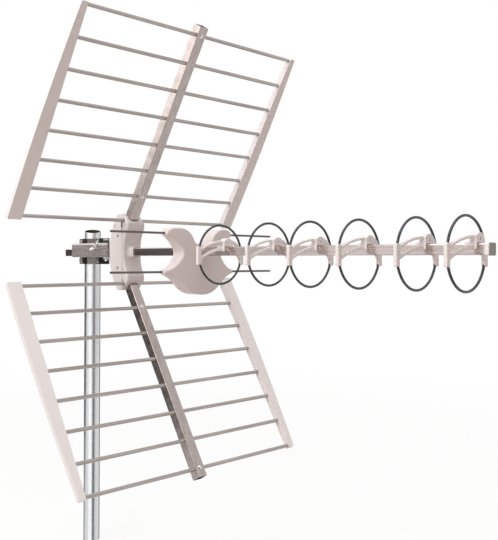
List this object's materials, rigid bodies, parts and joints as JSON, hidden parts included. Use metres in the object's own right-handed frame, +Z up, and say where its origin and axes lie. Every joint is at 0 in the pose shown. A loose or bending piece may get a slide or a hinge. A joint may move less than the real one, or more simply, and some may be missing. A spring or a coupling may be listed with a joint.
{
  "type": "outdoor tv antenna",
  "caption": "Outdoor UHF television antenna on a mast, with ring directors on a square boom, a dipole in a moulded housing and a corner reflector of rods.",
  "frame": {"origin": "centre of the mast's lower end", "axes": "+X forward along the boom towards the transmitter, +Z up the mast, +Y to the left of +X"},
  "size_m": [1.0101, 0.555, 1.0539],
  "materials": {
    "galvanised_steel": "satin",
    "zinc_plate": "satin",
    "boom_aluminium": "satin",
    "rod_aluminium": "satin",
    "spine_aluminium": "satin",
    "white_plastic": "matt",
    "case_plastic": "matt",
    "dark_plastic": "matt",
    "cap_plastic": "matt",
    "dark_rod": "satin",
    "ring_wire": "satin",
    "board": "gloss",
    "brass": "satin",
    "zinc_fastener": "satin"
  },
  "bodies": {
    "root": {"balun_board": "board", "boom": "boom_aluminium", "boom_front_cap": "cap_plastic", "boom_rear_plug": "dark_plastic", "clamp_bolts": "zinc_fastener", "clamp_cradle": "zinc_plate", "clamp_nuts": "zinc_fastener", "coax_socket": "brass", "dipole_front_shell": "case_plastic", "dipole_rear_shell": "case_plastic", "dipole_rod_lower_far": "dark_rod", "dipole_rod_lower_near": "dark_rod", "dipole_rod_upper_far": "dark_rod", "dipole_rod_upper_near": "dark_rod", "front_collar": "white_plastic", "housing_screws": "zinc_fastener", "lock_bolt": "zinc_fastener", "lock_spacers": "dark_plastic", "lower_rod_1": "rod_aluminium", "lower_rod_2": "rod_aluminium", "lower_rod_3": "rod_aluminium", "lower_rod_4": "rod_aluminium", "lower_rod_5": "rod_aluminium", "lower_rod_6": "rod_aluminium", "lower_rod_7": "rod_aluminium", "lower_rod_8": "rod_aluminium", "lower_spine": "spine_aluminium", "lower_strip_far": "white_plastic", "lower_strip_near": "white_plastic", "mast": "galvanised_steel", "rear_jaw": "zinc_plate", "ring_1": "ring_wire", "ring_2": "ring_wire", "ring_3": "ring_wire", "ring_4": "ring_wire", "ring_5": "ring_wire", "ring_6": "ring_wire", "ring_holder_1": "white_plastic", "ring_holder_2": "white_plastic", "ring_holder_3": "white_plastic", "ring_holder_4": "white_plastic", "ring_holder_5": "white_plastic", "ring_holder_6": "white_plastic", "saddle_plate": "zinc_plate", "spine_rivets": "zinc_fastener", "support_front_shell": "white_plastic", "support_rear_shell": "white_plastic", "upper_rod_1": "rod_aluminium", "upper_rod_2": "rod_aluminium", "upper_rod_3": "rod_aluminium", "upper_rod_4": "rod_aluminium", "upper_rod_5": "rod_aluminium", "upper_rod_6": "rod_aluminium", "upper_rod_7": "rod_aluminium", "upper_rod_8": "rod_aluminium", "upper_spine": "spine_aluminium", "upper_strip_far": "white_plastic", "upper_strip_near": "white_plastic", "wing_bolt": "zinc_fastener", "wing_nut": "zinc_fastener"}
  },
  "joints": []
}
